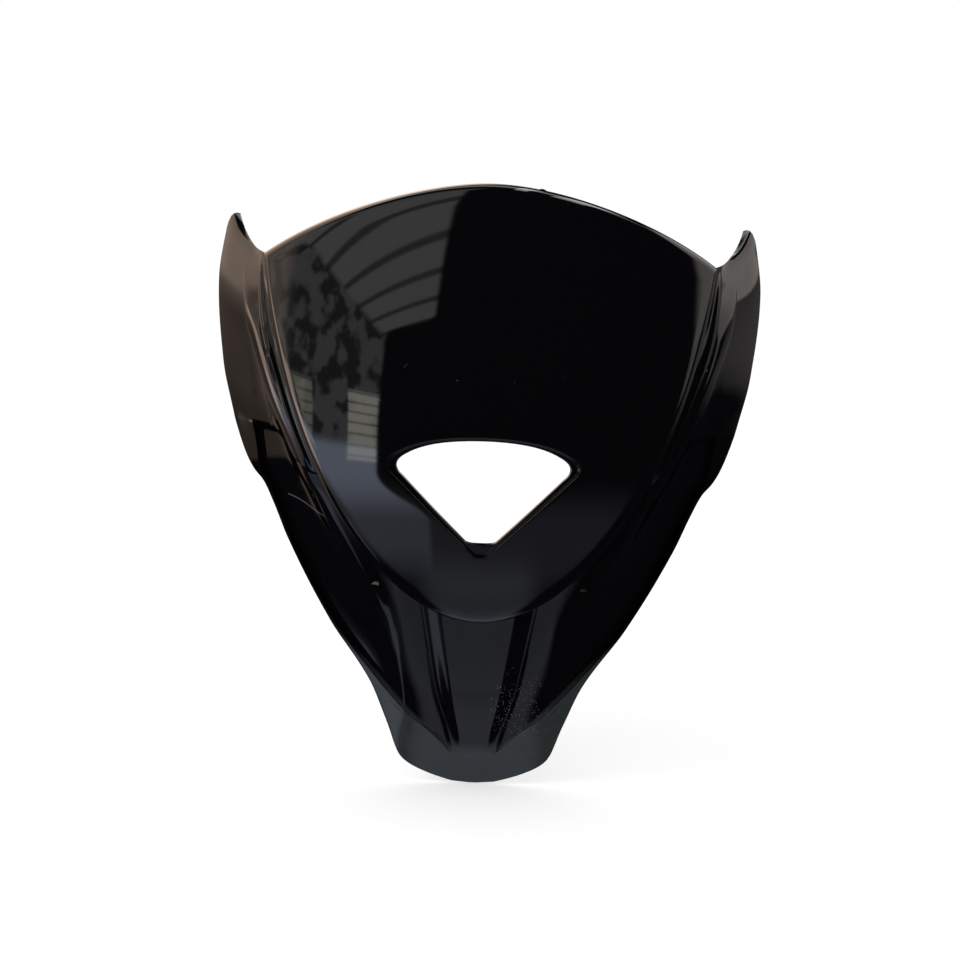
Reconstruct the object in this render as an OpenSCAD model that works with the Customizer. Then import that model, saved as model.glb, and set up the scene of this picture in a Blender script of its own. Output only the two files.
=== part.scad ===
// Front shield of a small motorcycle, moulded in one piece in glossy black plastic.
// X runs across the bike, Z is up and the face of the shield looks along -Y.
// The origin lies on the middle plane, at the foremost level of the face.
// Sizes are in millimetres and angles in degrees.

/* [Overall] */
// Width over both wings, at their widest
width = 331; // [318:1:344]
// Thickness of the moulded wall
wall = 2.5; // [2.2:0.1:2.8]

/* [Face] */
// Height of the top edge above the origin, in the middle
face_top = 166.5; // [162:0.5:171]
// Half of the width between the two upper corners
corner_x = 134.5; // [131:0.5:138]
// Height of the upper corners above the origin
corner_z = 121; // [117:0.5:125]
// Depth of the lip below the origin, in the middle
face_bottom = 88.5; // [85:0.5:92]
// How far the side of the face leans in on its way down from the corner
side_lean = 14.5; // [11:0.5:18]
// How far down from the corner that straight lean reaches
side_reach = 111; // [104:1:118]
// How far the flat run of the lip reaches out from the middle
lip_reach = 58; // [53:0.5:63]
// Radius of the face from side to side
face_radius_across = 230; // [215:1:250]
// Radius of the face above the origin, from bottom to top
face_radius_above = 300; // [280:1:330]
// Radius of the face below the origin, from bottom to top
face_radius_below = 200; // [185:1:220]
// Rounding of the face's outline at the lip
lip_rounding = 6; // [5:0.25:7]
// Rounding of the face's outline at the top edge
top_rounding = 3.2; // [3:0.1:4]
// Depth of the flange behind the top edge
top_flange = 5; // [4:0.25:7]
// Depth of the side wall behind the lip
lip_wall = 24; // [20:0.5:28]

/* [Window] */
// Half of the width of the window
window_half = 50; // [47:0.5:53]
// Height of the window's top edge above the origin
window_top = 21.5; // [19:0.5:24]
// Depth of the window's flat foot below the origin
window_bottom = 38.5; // [36:0.5:41]
// Half of the width of the window's flat foot
window_foot = 9; // [7:0.5:11]
// Width of the sunken seat at the sides of the window
seat_side = 4.6; // [3.5:0.1:5.5]
// Width of the sunken seat above the window
seat_above = 1.8; // [1.4:0.1:3]
// Width of the sunken seat below the window
seat_below = 7; // [5:0.25:9]
// How far the seat lies behind the face
seat_depth = 3.2; // [2.6:0.1:4]

/* [Wings] */
// Distance of the horn tips from the middle plane
horn_x = 157.5; // [154:0.5:160]
// Height of the horn tips above the origin
horn_z = 143.5; // [138:0.5:149]
// Depth of the horn tips behind the origin
horn_back = 123; // [117:0.5:129]
// Depth of the wings' outer edges behind the origin, at the widest place
wing_back = 108; // [103:0.5:113]
// How far the wings swell out between their edges
wing_swell = 5; // [3:0.25:7]
// Height of the bead beside the face
bead_rise = 1.4; // [0.8:0.1:2]
// Height of the leaf-shaped panel on each wing
leaf_rise = 2.6; // [1.5:0.1:3.5]
// Height of the crease that runs down the wing to the recess
crease_rise = 1.2; // [0:0.1:2]

/* [Side recesses] */
// Distance of the waist, below the wings, from the middle plane
waist_x = 134; // [131:0.5:137]
// Depth of the waist below the origin
waist_z = 17.5; // [15:0.5:20]
// Depth of the outer edge behind the origin, below the waist
side_back = 88; // [84:0.5:92]
// How far the floor of each recess lies behind its rim
recess_depth = 5; // [3.5:0.25:6.5]

/* [Keel and chin] */
// Half of the width of the keel at its foot
keel_foot = 12.5; // [10:0.5:15]
// How far the keel's middle stands out from its flanks' edges
keel_rise = 5; // [3:0.25:6]
// Depth of the chin below the origin
chin_bottom = 202.5; // [196:0.5:209]
// Half of the width of the chin between its lower corners
chin_half = 45; // [42:0.5:48]
// Depth of the chin's lower edge behind the origin
chin_back = 89; // [85:0.5:93]

/* [Fixings] */
// Diameter of the screw bosses
boss_d = 9; // [8:0.25:11]
// Diameter of the pilot holes in the bosses
pilot_d = 3.4; // [2.8:0.1:4]
// Depth of the pilot holes
pilot_depth = 11; // [8:0.5:13]
// Distance of the upper bosses from the middle plane
upper_boss_x = 140; // [136:0.5:143]
// Height of the upper bosses above the origin
upper_boss_z = 62; // [58:0.5:66]
// Distance of the lower bosses from the middle plane
lower_boss_x = 72; // [69:0.5:75]
// Depth of the lower bosses below the origin
lower_boss_z = 72; // [68:0.5:76]
// Depth of the upper bosses' ends behind the origin
upper_boss_end = 97; // [94:0.5:100]
// Depth of the lower bosses' ends behind the origin
lower_boss_end = 82; // [80:0.5:86]
// Diameter of the two locating pegs
peg_d = 7; // [6:0.25:8]
// Length of the pegs from their shoulders to their ends
peg_length = 10; // [8:0.5:12]
// Diameter of the shouldered stems that carry the pegs
stem_d = 10.5; // [9:0.25:12]
// Distance of the pegs from the middle plane
peg_x = 92; // [88:0.5:96]
// Height of the pegs above the origin
peg_z = 92; // [88:0.5:96]
// Depth of the pegs' ends behind the origin
peg_end = 60; // [56:0.5:66]
// Thickness of the ribs that stiffen the bosses and pegs
rib = 1.8; // [1.4:0.1:2.4]
// Distance of the clip tab from the middle plane
tab_x = 28.5; // [24:0.5:36]
// Width of the clip tab on the top edge
tab_w = 9; // [7:0.5:12]
// Height of the clip tab's rounded top above the top edge
tab_rise = 1.1; // [0.8:0.1:1.6]

/* [Hidden] */
gloss_black = [0.03, 0.03, 0.035];

// Places along the side of the face, from the upper corner (0) to the middle of the lip (1)
WING_END = 0.42;
KEEL_EDGE = 0.80;
KEEL_RIDGE = 0.88;
STEP = 0.008;
DRAFT = 0.5;
EDGE_ROUND = 0.8;

// Columns of the mesh: the top edge runs from -1 to 0 and the side from 0 to 1
TOP_COLUMNS = [for (i = [0:9]) i / 10 - 1];
WING_COLUMNS = [0, 0.01, 0.02, 0.032, 0.05, 0.075, 0.11, 0.15, 0.19, 0.23, 0.27, 0.31, 0.35, 0.385, WING_END];
RECESS_COLUMNS = concat(
    [WING_END + STEP, 0.445, 0.46, 0.475, 0.50, 0.535, 0.565, 0.595, 0.63, 0.665],
    [for (i = [0:7]) 0.7 + i * 0.0125], [KEEL_EDGE - STEP]);
KEEL_COLUMNS = [KEEL_EDGE, 0.82, 0.84, 0.86, KEEL_RIDGE, 0.90, 0.93, 0.965, 1];
HALF = concat(TOP_COLUMNS, WING_COLUMNS, RECESS_COLUMNS, KEEL_COLUMNS);
LAST = len(HALF) - 1;
COLUMNS = 2 * LAST;
FIRST_WING = len(TOP_COLUMNS);
STRIP = COLUMNS - 2 * FIRST_WING;

// Curves: a smooth curve through keys of [place, value], and a Bezier curve
function find_key(k, t, i = 0) = i >= len(k) - 2 || t < k[i + 1][0] ? i : find_key(k, t, i + 1);
function between(a, b) =
    is_num(a) ? (a * b <= 0 ? 0 : 2 * a * b / (a + b)) : [for (i = [0:len(a) - 1]) between(a[i], b[i])];
function key_step(k, i) = (k[i + 1][1] - k[i][1]) / (k[i + 1][0] - k[i][0]);
function key_slope(k, i) =
    i == 0 ? key_step(k, 0) :
    i == len(k) - 1 ? key_step(k, i - 1) : between(key_step(k, i - 1), key_step(k, i));
function smooth(k, t) =
    let (i = find_key(k, t), h = k[i + 1][0] - k[i][0], s = (t - k[i][0]) / h)
    k[i][1] * (2 * s ^ 3 - 3 * s ^ 2 + 1) + key_slope(k, i) * h * (s ^ 3 - 2 * s ^ 2 + s)
    + k[i + 1][1] * (3 * s ^ 2 - 2 * s ^ 3) + key_slope(k, i + 1) * h * (s ^ 3 - s ^ 2);
function bezier(p, t) =
    p[0] * (1 - t) ^ 3 + p[1] * 3 * t * (1 - t) ^ 2 + p[2] * 3 * t ^ 2 * (1 - t) + p[3] * t ^ 3;
function ease(t) = let (s = min(max(t, 0), 1)) s * s * (3 - 2 * s);
function mix(a, b, t) = a * (1 - t) + b * t;
function unit(v) = norm(v) > 1e-9 ? v / norm(v) : v * 0;
function mirrored(p) = [-p.x, p.y, p.z];

// Depth of the face at a place: one radius across, and one each above and below the origin
function arc_depth(r, d) = r - sqrt(r * r - d * d);
function face_y(x, z) =
    arc_depth(face_radius_across, x) + arc_depth(z > 0 ? face_radius_above : face_radius_below, z);

// Outline of the face, seen from the front as [x, z]
TOP_CURVE = [[0, face_top], [0.3 * corner_x, face_top],
             [0.73 * corner_x, mix(corner_z, face_top, 0.58)], [corner_x, corner_z]];
SIDE_CURVE = [[corner_x, corner_z], [corner_x - side_lean, corner_z - side_reach],
              [lip_reach, -face_bottom], [0, -face_bottom]];
function outline(q) = q < 0 ? bezier(TOP_CURVE, q + 1) : bezier(SIDE_CURVE, q);
function outline_normal(q, side) =
    let (e = 0.002, a = side < 0 ? q - e : q, b = side < 0 ? q : q + e, t = outline(b) - outline(a))
    unit([-t[1], t[0]]);
function outward(q) =
    q <= -1 ? [0, 1] : q >= 1 ? [0, -1] :
    let (a = outline_normal(q, -1), b = outline_normal(q, 1)) (a + b) / (1 + a * b);
function rounding(q) = mix(top_rounding, lip_rounding, ease(q / 0.7));

// Outline of the window (grow 0) and of the rim around its seat (grow 1)
function window(s, grow) =
    let (h = window_half + grow * seat_side, t = window_top + grow * seat_above,
         b = window_bottom + grow * seat_below, f = window_foot * (1 - 0.45 * grow),
         shoulder = [0.87 * h, 0.62 * t], hip = [0.93 * h, 0], toe = [f, -0.965 * b])
    s < 0.35 ? bezier([[0, t], [0.42 * h, t], [0.7 * h, 0.85 * t], shoulder], s / 0.35) :
    s < 0.5 ? bezier([shoulder, [1.02 * h, 0.44 * t], [1.06 * h, 0.24 * t], hip], (s - 0.35) / 0.15) :
    s < 0.92 ? mix(hip, toe, (s - 0.5) / 0.42) :
    bezier([toe, [0.8 * f, -b], [0.5 * f, -b], [0, -b]], (s - 0.92) / 0.08);
function window_outward(s) =
    s <= 0 ? [0, 1] : s >= 1 ? [0, -1] :
    let (e = 0.004, t = window(min(s + e, 1), 1) - window(max(s - e, 0), 1)) unit([-t[1], t[0]]);
function window_place(q) =
    q < 0 ? 0.25 * (q + 1) :
    smooth([[0, 0.25], [0.2, 0.38], [0.35, 0.47], [0.42, 0.53], [0.8, 0.88], [0.88, 0.935], [1, 1]], q);

// Depths of the side wall, the recess and the keel along the side
function wall_depth(q) = q < 0 ? top_flange : mix(top_flange, lip_wall, ease(q * 1.15));
function in_recess(u) = u > WING_END + STEP / 2 && u < KEEL_EDGE - STEP / 2;
function keel_shape(u) =
    u < KEEL_EDGE ? 0 : u < KEEL_RIDGE ? ease((u - KEEL_EDGE) / (KEEL_RIDGE - KEEL_EDGE)) : 1;
function rim_place(u) =
    smooth([[0, 0.6], [0.125, 0.56], [0.27, 0.6], [WING_END, 0.8], [WING_END + STEP, 0.804],
            [0.47, 0.93], [0.52, 0.945], [0.6, 0.955], [0.675, 0.95], [0.7, 0.92], [0.725, 0.82],
            [0.75, 0.73], [0.775, 0.745], [0.8, 0.835], [0.9, 0.85], [1, 0.85]], u);
function level(u, f, on_floor) =
    let (along = f / rim_place(u),
         drop = in_recess(u) && on_floor
             ? recess_depth * (1 - 0.8 * ease((u - 0.68) / 0.12) * min(along, 1) ^ 1.5) : 0,
         rise = keel_rise * keel_shape(u) * (1 - ease((f - 0.4) / 0.45)),
         swell = smooth([[0, 0.2], [0.2, 1], [WING_END, 0.6], [0.6, 0.5], [KEEL_EDGE, 0], [1, 0]], u))
    drop - rise - wing_swell * swell * sin(180 * min(f, 1));

// Boundary curves of the panels beside and below the face, as [x, y, z]
function foot(u) =
    let (e = outline(u), p = e + DRAFT * outward(u))
    [p[0], face_y(e[0], e[1]) + rounding(u) + wall_depth(u), p[1]];
EDGE_KEYS = [
    [0, [horn_x - 3, horn_back, horn_z - 0.7]],
    [0.01, [horn_x, horn_back - 0.3, horn_z]],
    [0.02, [horn_x + 2.6, horn_back - 1.2, horn_z - 1.9]],
    [0.032, [horn_x + 5, horn_back - 3, horn_z - 8.2]],
    [0.11, [width / 2, wing_back, corner_z - 16]],
    [0.27, [width / 2 - 4.2, wing_back - 8, 57]],
    [WING_END, [width / 2 - 12.5, wing_back - 13, 21]],
    [0.445, [waist_x + 11.5, side_back + 4.5, 17 - waist_z]],
    [0.46, [waist_x + 6, side_back + 3, 7 - waist_z]],
    [0.475, [waist_x, side_back + 2, -waist_z]],
    [0.50, [waist_x - 6.5, side_back + 1, -waist_z - 13]],
    [0.535, [waist_x - 16, side_back, -waist_z - 35]],
    [0.63, [mix(chin_half, waist_x, 0.515), side_back - 2, -102]],
    [0.70, [chin_half + 20, side_back - 5, -139]],
    [0.725, [chin_half + 9.3, side_back - 4, -164]],
    [0.75, [chin_half, chin_back - 3, 16 - chin_bottom]],
    [0.775, [0.66 * chin_half, chin_back - 1.5, 6.5 - chin_bottom]],
    [KEEL_EDGE, [keel_foot, chin_back, 0.8 - chin_bottom]],
    [1, [0, chin_back, -chin_bottom]],
    [2 - KEEL_EDGE, [-keel_foot, chin_back, 0.8 - chin_bottom]]];
function free_edge(u) = smooth(EDGE_KEYS, u);
function horn_line(f) =
    let (a = foot(0), b = free_edge(0))
    smooth([[0, a], [0.25, mix(a, b, 0.26) + [0.7, 0, -3.2]], [0.45, mix(a, b, 0.46) + [0.8, 0, -3.8]],
            [0.7, mix(a, b, 0.7) + [0.9, 0, -3.1]], [0.88, mix(a, b, 0.88) + [0.7, 0, -0.9]], [1, b]], f);
function recess_top(f) =
    let (a = foot(WING_END), b = free_edge(WING_END))
    smooth([[0, a], [0.18, mix(a, b, 0.2) + [1, -3, 0]], [0.55, mix(a, b, 0.55) + [-1, 2, 9.5]],
            [0.8, mix(a, b, 0.8) + [-1.2, 1, 4.5]], [1, b]], f);
function keel_line(f) =
    let (a = foot(KEEL_EDGE), b = free_edge(KEEL_EDGE))
    smooth([[0, a], [0.5, mix(a, b, 0.5) + [0, -3, 0]], [0.835, mix(a, b, 0.835) + [-2.7, -1, 0]], [1, b]], f);
function middle_line(f) =
    let (a = foot(1), b = free_edge(1))
    smooth([[0, a], [0.5, mix(a, b, 0.5) + [0, -3, 0]], [0.85, mix(a, b, 0.85) + [0, -1, 0]], [1, b]], f);

// A panel stretched between four curves: two along it and two across it
function panel(t, f, inner, outer, start, end, corners) =
    mix(inner, outer, f) + mix(start, end, t)
    - mix(mix(corners[0], corners[1], f), mix(corners[2], corners[3], f), t);
function side_panel(u, f) =
    let (inner = foot(u), outer = free_edge(u))
    u <= WING_END + STEP / 2 ?
        panel(u / WING_END, f, inner, outer, horn_line(f), recess_top(f),
              [foot(0), free_edge(0), foot(WING_END), free_edge(WING_END)]) :
    u <= KEEL_EDGE - STEP / 2 ?
        panel((u - WING_END) / (KEEL_EDGE - WING_END), f, inner, outer, recess_top(f), keel_line(f),
              [foot(WING_END), free_edge(WING_END), foot(KEEL_EDGE), free_edge(KEEL_EDGE)]) :
        panel((u - KEEL_EDGE) / (1 - KEEL_EDGE), f, inner, outer, keel_line(f), middle_line(f),
              [foot(KEEL_EDGE), free_edge(KEEL_EDGE), foot(1), free_edge(1)]);
function side_point(u, f, on_floor) = side_panel(u, f) + [0, level(u, f, on_floor), 0];

// Rows across the side panels: bead, leaf and rim, as shares of the way to the free edge
function bead_place(u) = smooth([[0, 0.1], [0.125, 0.13], [0.27, 0.085], [WING_END, 0.09], [1, 0.1]], u);
function leaf_in(u) = smooth([[0, 0.16], [0.125, 0.2], [0.27, 0.13], [WING_END, 0.15], [1, 0.18]], u);
function leaf_out(u) =
    smooth([[0, 0.45], [0.125, 0.49], [0.27, 0.385], [WING_END, 0.55], [0.6, 0.5], [1, 0.42]], u);
function bead_shape(u) = ease(u / 0.06) * ease((WING_END + 0.02 - u) / 0.05);
function leaf_shape(u) = ease((u - 0.05) / 0.1) * ease((WING_END + STEP - u) / STEP);
function crease_shape(u) = ease((u - 0.16) / 0.14) * ease((WING_END - 0.035 - u) / 0.08);
function edge_inset(u) = 1 - EDGE_ROUND / max(norm(free_edge(u) - foot(u)), 1);
// Each row holds its place, whether it lies on the recess floor, and what stands out on it
function rows(u) =
    let (b = bead_place(u), i = leaf_in(u), o = leaf_out(u), r = rim_place(u), lift = leaf_rise * leaf_shape(u),
         crease = crease_rise * crease_shape(u))
    [[b * 0.45, true, 0], [b, true, bead_rise * bead_shape(u)], [mix(b, i, 0.6), true, 0.1 * lift],
     [i, true, 0.3 * lift], [mix(i, o, 0.55), true, 0.75 * lift], [o, true, lift],
     [o + 0.018, true, 0], [mix(o, r, 0.5), true, crease / 2], [r, true, crease], [r + 0.006, false, crease],
     [mix(r, 1, 0.5), false, crease / 2], [edge_inset(u), false, 0], [1, false, -EDGE_ROUND]];
SIDE_ROWS = 13;
// Where the rim is narrow, the back of it is filled up to the floor
function filled_rim(u) = ease((u - WING_END) / 0.02) * (1 - ease((u - 0.69) / 0.035));

// Rows across the face, from the window's edge to the foot of the side wall. The back has no rounding
// at the rim of the seat, so that it can follow one wall behind
FACE_SHARES = [0.08, 0.22, 0.4, 0.6, 0.8, 0.94];
function face_column(q, back) =
    let (s = window_place(q), hole = window(s, 0), rim = window(s, 1), n = outward(q), r = rounding(q),
         edge = back ? 0 : EDGE_ROUND,
         out = window_outward(s), seat = rim - DRAFT * out, brow = rim + (back ? 1.5 * wall : edge) * out,
         e = outline(q), start = e - r * n, half = e - r * (1 - sin(45)) * n, y = face_y(start[0], start[1]),
         f = foot(q), drop = in_recess(q) ? recess_depth : 0, rise = keel_rise * keel_shape(q))
    concat(
        [[hole[0], face_y(hole[0], hole[1]) + seat_depth, hole[1]],
         [seat[0], face_y(seat[0], seat[1]) + seat_depth, seat[1]],
         [rim[0], face_y(rim[0], rim[1]) + edge, rim[1]],
         [brow[0], face_y(brow[0], brow[1]), brow[1]]],
        [for (k = FACE_SHARES) let (p = mix(brow, start, k)) [p[0], face_y(p[0], p[1]), p[1]]],
        [[start[0], y, start[1]],
         [half[0], mix(y, face_y(e[0], e[1]), 0.5) + r * (1 - cos(45)), half[1]],
         [e[0], face_y(e[0], e[1]) + r, e[1]],
         f + [0, drop - rise, 0]]);
FACE_ROWS = 14;

// All points of one skin, row by row; the side rows have fewer columns than the face
function column_place(c) = HALF[c <= LAST ? c : COLUMNS - c];
function place_point(c, p) = c <= LAST ? p : mirrored(p);
function skin(back) =
    let (faces = [for (q = HALF) face_column(q, back)],
         sides = [for (q = HALF) q < 0 ? [] : [for (r = rows(q))
             side_point(q, r[0], r[1]) + [0, back
                 ? (r[1] ? 0 : filled_rim(q) * (level(q, r[0], true) - level(q, r[0], false)))
                 : -r[2], 0]]])
    [for (r = [0:FACE_ROWS + SIDE_ROWS - 1])
        [for (c = [0:COLUMNS - 1]) let (h = c <= LAST ? c : COLUMNS - c)
            r < FACE_ROWS ? place_point(c, faces[h][r]) :
            HALF[h] < 0 ? undef : place_point(c, sides[h][r - FACE_ROWS])]];

function has_quad(r, c) =
    r < FACE_ROWS - 1 || (c >= FIRST_WING && c < COLUMNS - FIRST_WING);
function quad_normal(s, r, c) =
    r < 0 || r >= FACE_ROWS + SIDE_ROWS - 1 || !has_quad(r, c) ? [0, 0, 0] :
    let (n = (c + 1) % COLUMNS) unit(cross(s[r][n] - s[r + 1][c], s[r + 1][n] - s[r][c]));
// The back skin lies one wall behind: each point moves so that every face next to it moves by a wall
function back_point(s, r, c) =
    let (l = (c + COLUMNS - 1) % COLUMNS,
         near = [quad_normal(s, r, c), quad_normal(s, r, l), quad_normal(s, r - 1, c), quad_normal(s, r - 1, l)],
         used = [for (n = near) if (norm(n) > 0) n],
         sum = unit(near[0] + near[1] + near[2] + near[3]),
         share = len(used) > 0 ? (near[0] + near[1] + near[2] + near[3]) * sum / len(used) : 1)
    s[r][c] - sum * wall / max(share, 0.6);

function index(r, c) =
    r < FACE_ROWS ? r * COLUMNS + c % COLUMNS :
    FACE_ROWS * COLUMNS + (r - FACE_ROWS) * (STRIP + 1) + c - FIRST_WING;
function flat(s) = [for (r = [0:len(s) - 1], c = [0:COLUMNS - 1]) if (s[r][c] != undef) s[r][c]];
function split(a, b, c, d) = [[a, b, c], [a, c, d]];
// The free border runs along the top edge, down one wing, round the chin and up the other wing
BORDER = concat(
    [for (c = [-FIRST_WING:FIRST_WING]) index(FACE_ROWS - 1, c + COLUMNS)],
    [for (r = [FACE_ROWS:FACE_ROWS + SIDE_ROWS - 1]) index(r, FIRST_WING)],
    [for (c = [FIRST_WING + 1:COLUMNS - FIRST_WING]) index(FACE_ROWS + SIDE_ROWS - 1, c)],
    [for (r = [FACE_ROWS + SIDE_ROWS - 2:-1:FACE_ROWS]) index(r, COLUMNS - FIRST_WING)]);

module shell() {
    front = skin(false);
    core = skin(true);
    front_points = flat(front);
    back_points = flat([for (r = [0:len(core) - 1])
        [for (c = [0:COLUMNS - 1]) core[r][c] == undef ? undef : back_point(core, r, c)]]);
    n = len(front_points);
    quads = [for (r = [0:FACE_ROWS + SIDE_ROWS - 2], c = [0:COLUMNS - 1]) if (has_quad(r, c))
        [index(r, c), index(r + 1, c), index(r + 1, c + 1), index(r, c + 1)]];
    hole = [for (c = [0:COLUMNS - 1]) index(0, c)];
    faces = concat(
        [for (q = quads) each split(q[0], q[1], q[2], q[3])],
        [for (q = quads) each split(q[3] + n, q[2] + n, q[1] + n, q[0] + n)],
        [for (i = [0:len(hole) - 1]) let (a = hole[i], b = hole[(i + 1) % len(hole)])
            each split(a, b, b + n, a + n)],
        [for (i = [0:len(BORDER) - 1]) let (a = BORDER[i], b = BORDER[(i + 1) % len(BORDER)])
            each split(b, a, a + n, b + n)]);
    polyhedron(concat(front_points, back_points), faces, convexity = 10);
}

// Places on the shell for the fixings: a point on the front and the way through the wall to the back
function side_slopes(u, f) =
    let (e = 0.001, p = side_point(u, f, true))
    [p, (side_point(u + e, f, true) - p) / e, (side_point(u, f + e, true) - p) / e];
function side_place(x, z, u, f, tries = 8) =
    let (s = side_slopes(u, f), a = s[1], b = s[2], dx = x - s[0].x, dz = z - s[0].z,
         area = a.x * b.z - b.x * a.z)
    tries == 0 ? s :
    side_place(x, z, u + (dx * b.z - b.x * dz) / area, f + (a.x * dz - dx * a.z) / area, tries - 1);
function backward(v) = v.y < 0 ? -unit(v) : unit(v);
function side_spot(x, z, u, f) =
    let (s = side_place(x, z, u, f)) [s[0], backward(cross(s[1], s[2]))];
function face_spot(x, z) =
    let (e = 0.01, y = face_y(x, z))
    [[x, y, z], backward(cross([e, face_y(x + e, z) - y, 0], [0, face_y(x, z + e) - y, e]))];

// What stands behind the wall at a spot, cut off in the middle of the wall
module rooted(spot) {
    n = spot[1];
    size = 90;
    intersection() {
        children();
        translate(spot[0] + n * wall / 2) rotate([0, acos(n.z), atan2(n.y, n.x)])
            translate([-size / 2, -size / 2, 0]) cube(size);
    }
}

// A post along Y from the wall at a spot back to a depth, with one rib towards the middle
module post(spot, d, end) {
    p = spot[0];
    n = spot[1];
    reach = 1.5 * d;
    front = p.y - reach;
    root = p.y + n.x / n.y * reach;
    rooted(spot) union() {
        translate([p.x, front, p.z]) rotate([-90, 0, 0]) cylinder(d = d, h = end - front, $fn = 48);
        translate([0, 0, p.z - rib / 2]) linear_extrude(rib)
            polygon([[p.x, end - d / 2], [p.x, front], [p.x - reach, root - reach], [p.x - reach, root]]);
    }
}

module screw_boss(spot, end) {
    difference() {
        post(spot, boss_d, end);
        translate([spot[0].x, end - pilot_depth, spot[0].z]) rotate([-90, 0, 0])
            cylinder(d = pilot_d, h = pilot_depth + 1, $fn = 48);
    }
}

// A stem with a shoulder, and the peg on it
module peg(spot, end) {
    post(spot, stem_d, end - peg_length);
    translate([spot[0].x, end - peg_length - 1, spot[0].z]) rotate([-90, 0, 0])
        cylinder(d = peg_d, h = peg_length + 1, $fn = 48);
}

module fixings() {
    screw_boss(side_spot(upper_boss_x, upper_boss_z, 0.2, 0.5), upper_boss_end);
    screw_boss(side_spot(lower_boss_x, -lower_boss_z, 0.6, 0.4), lower_boss_end);
    peg(face_spot(peg_x, peg_z), peg_end);
}

// The clip tab stands on the flange behind the top edge
function top_place(x, low = -1, high = 0, tries = 24) =
    let (q = (low + high) / 2)
    tries == 0 ? q : outline(q)[0] < x ? top_place(x, q, high, tries - 1) : top_place(x, low, q, tries - 1);
module clip_tab() {
    e = outline(top_place(tab_x));
    thick = top_flange / 2;
    translate([tab_x, face_y(e[0], e[1]) + top_rounding + top_flange - thick, e[1]]) intersection() {
        translate([-tab_w / 2, 0, -wall]) cube([tab_w, thick, wall + tab_rise]);
        translate([0, -1, tab_rise - tab_w / 2]) rotate([-90, 0, 0])
            cylinder(d = tab_w, h = thick + 2, $fn = 64);
    }
}

module front_shield() {
    color(gloss_black) union() {
        shell();
        fixings();
        mirror([1, 0, 0]) fixings();
        clip_tab();
    }
}

front_shield();
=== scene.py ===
"""Front shield of a small motorcycle, moulded in one piece in glossy black plastic.

Places and sizes are worked out in millimetres, with X across the bike, Z up and the
face looking along -Y, and go into the meshes in metres.
"""
import math

import bpy
import numpy as np
from mathutils import Matrix, Vector


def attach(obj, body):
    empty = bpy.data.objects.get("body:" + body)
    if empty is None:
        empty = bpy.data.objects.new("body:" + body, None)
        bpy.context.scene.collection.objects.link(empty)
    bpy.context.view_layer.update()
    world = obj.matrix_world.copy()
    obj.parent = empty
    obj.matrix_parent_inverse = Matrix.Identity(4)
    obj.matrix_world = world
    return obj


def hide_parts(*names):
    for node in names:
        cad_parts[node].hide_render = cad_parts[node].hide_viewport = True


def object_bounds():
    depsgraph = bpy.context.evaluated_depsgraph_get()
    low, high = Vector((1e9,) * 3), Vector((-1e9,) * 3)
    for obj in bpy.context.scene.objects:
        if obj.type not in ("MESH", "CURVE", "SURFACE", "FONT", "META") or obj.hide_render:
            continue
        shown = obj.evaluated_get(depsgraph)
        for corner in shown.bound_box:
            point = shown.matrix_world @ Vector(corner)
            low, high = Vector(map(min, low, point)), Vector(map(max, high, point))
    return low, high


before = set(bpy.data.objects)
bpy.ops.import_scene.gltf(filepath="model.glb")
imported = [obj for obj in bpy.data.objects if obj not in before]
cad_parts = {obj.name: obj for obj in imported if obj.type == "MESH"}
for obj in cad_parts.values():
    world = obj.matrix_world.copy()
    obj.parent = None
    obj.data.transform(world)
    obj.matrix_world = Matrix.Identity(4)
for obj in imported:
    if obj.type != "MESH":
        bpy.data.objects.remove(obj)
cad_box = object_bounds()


# Shell of the shield.
# One injection moulding in glossy black plastic: a domed face around the window, two wings
# with horns, a recess on each side, the keel under the lip and the chin. Wall 2.5 mm.

MM = 0.001
WALL = 2.5

FACE_TOP = 166.5
CORNER = np.array([134.5, 121.0])
FACE_BOTTOM = 88.5
SIDE_LEAN = 14.5
SIDE_REACH = 111.0
LIP_REACH = 58.0
RADIUS_ACROSS = 230.0
RADIUS_ABOVE = 300.0
RADIUS_BELOW = 200.0
LIP_ROUNDING = 6.0
TOP_ROUNDING = 3.2
TOP_FLANGE = 5.0
LIP_WALL = 24.0

WINDOW_HALF = 50.0
WINDOW_TOP = 21.5
WINDOW_BOTTOM = 38.5
WINDOW_FOOT = 9.0
SEAT_SIDE = 4.6
SEAT_ABOVE = 1.8
SEAT_BELOW = 7.0
SEAT_DEPTH = 3.2

WIDTH = 331.0
HORN = np.array([157.5, 123.0, 143.5])
WING_BACK = 108.0
WING_SWELL = 5.0
BEAD_RISE = 1.4
LEAF_RISE = 2.6
CREASE_RISE = 1.2

WAIST_X = 134.0
WAIST_Z = -17.5
SIDE_BACK = 88.0
RECESS_DEPTH = 5.0

KEEL_FOOT = 12.5
KEEL_RISE = 5.0
CHIN_BOTTOM = -202.5
CHIN_HALF = 45.0
CHIN_BACK = 89.0

# Places along the side of the face, from the upper corner (0) to the middle of the lip (1)
WING_END = 0.42
KEEL_EDGE = 0.80
KEEL_RIDGE = 0.88
STEP = 0.008
DRAFT = 0.5
EDGE_ROUND = 0.8


def ease(t):
    """Runs from 0 to 1 as t does, level at both ends: three squares less two cubes."""
    s = np.clip(t, 0.0, 1.0)
    return s * s * (3.0 - 2.0 * s)


def mix(a, b, t):
    """The place a share t of the way from a to b."""
    return a * (1.0 - t) + b * t


def unit(v):
    """Vectors of length one, along the last axis."""
    return v / np.maximum(np.linalg.norm(v, axis=-1, keepdims=True), 1e-12)


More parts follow.
